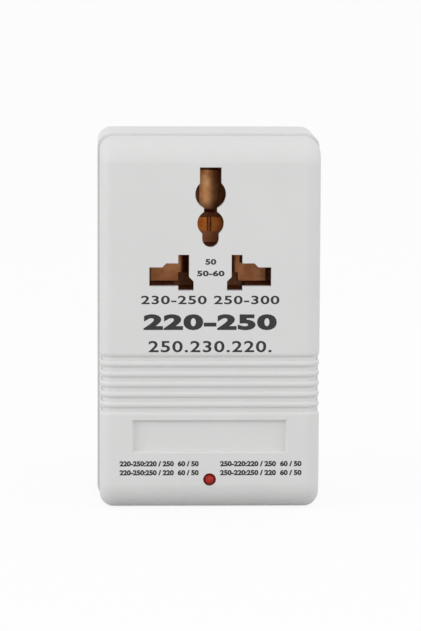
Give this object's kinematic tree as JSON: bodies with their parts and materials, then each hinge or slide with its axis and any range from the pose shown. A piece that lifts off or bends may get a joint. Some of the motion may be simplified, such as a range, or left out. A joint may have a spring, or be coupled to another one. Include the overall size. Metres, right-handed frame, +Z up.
{
  "type": "travel voltage converter",
  "caption": "Hand-sized two-way travel voltage converter: white two-part case, universal outlet, indicator lamp, folding plug and voltage selector.",
  "frame": {"origin": "middle of the base, at the height of the surface the converter stands on", "axes": "+Z up toward the earth slot, the outlet faces -Y, the selector is on the +X side"},
  "size_m": [0.0544, 0.044, 0.0905],
  "materials": {
    "white_case": "satin moulded",
    "grey_rotor": "moulded",
    "zinc_steel": "zinc plated",
    "brown_phenolic": "moulded",
    "contact_bronze": "stamped sheet",
    "yellow_brass": "stamped sheet",
    "red_epoxy": "clear tinted",
    "tinned_metal": "tinned",
    "tan_board": "paper laminate",
    "tan_resistor": "lacquered",
    "lamination": "varnished sheet stack",
    "cream_nylon": "moulded",
    "copper_wire": "enamelled wire",
    "yellow_tape": "film tape",
    "pale_metal": "plain",
    "fuse_glass": "clear",
    "black_nylon": "moulded",
    "red_nylon": "moulded",
    "nickel_blade": "nickel plated",
    "black_wire": "extruded",
    "red_wire": "extruded",
    "blue_wire": "extruded",
    "yellow_wire": "extruded",
    "grey_wire": "extruded"
  },
  "bodies": {
    "case": {"front_cover": "white_case", "rear_cover": "white_case", "case_screws": "zinc_steel", "carrier_screws": "zinc_steel", "core_screws": "zinc_steel", "fuse_screws": "zinc_steel", "contact_carrier": "brown_phenolic", "line_contact": "contact_bronze", "neutral_contact": "contact_bronze", "earth_contact": "contact_bronze", "line_spring": "contact_bronze", "neutral_spring": "contact_bronze", "fuse_clips": "yellow_brass", "spring_rivets": "yellow_brass", "lamp": "red_epoxy", "lamp_leads": "tinned_metal", "terminal_pins": "tinned_metal", "fuse_caps": "tinned_metal", "fuse_wire": "tinned_metal", "selector_terminals": "tinned_metal", "lamp_board": "tan_board", "fuse_board": "tan_board", "lamp_resistor": "tan_resistor", "core_e_stack": "lamination", "core_i_stack": "lamination", "bobbin": "cream_nylon", "inner_winding": "copper_wire", "outer_winding": "copper_wire", "layer_tape": "yellow_tape", "cover_tape": "yellow_tape", "thermal_cutoff": "pale_metal", "fuse_tube": "fuse_glass", "selector_case": "black_nylon", "supply_wires": "black_wire", "feed_wire": "red_wire", "tap_wires": "blue_wire", "outlet_wires": "yellow_wire", "lamp_wires": "grey_wire"},
    "plug": {"plug_rotor": "grey_rotor", "plug_blades": "nickel_blade", "pivot_pins": "zinc_steel"},
    "selector": {"selector_knob": "red_nylon"}
  },
  "joints": [
    {"name": "plug_turn", "type": "hinge", "parent": "case", "child": "plug", "pos_m": [0, 0.0182, 0.076], "axis": [1, 0, 0], "range_deg": [0, 90]},
    {"name": "selector_slide", "type": "slide", "parent": "case", "child": "selector", "axis": [0, 0, 1], "range_m": [0, 0.005]}
  ]
}
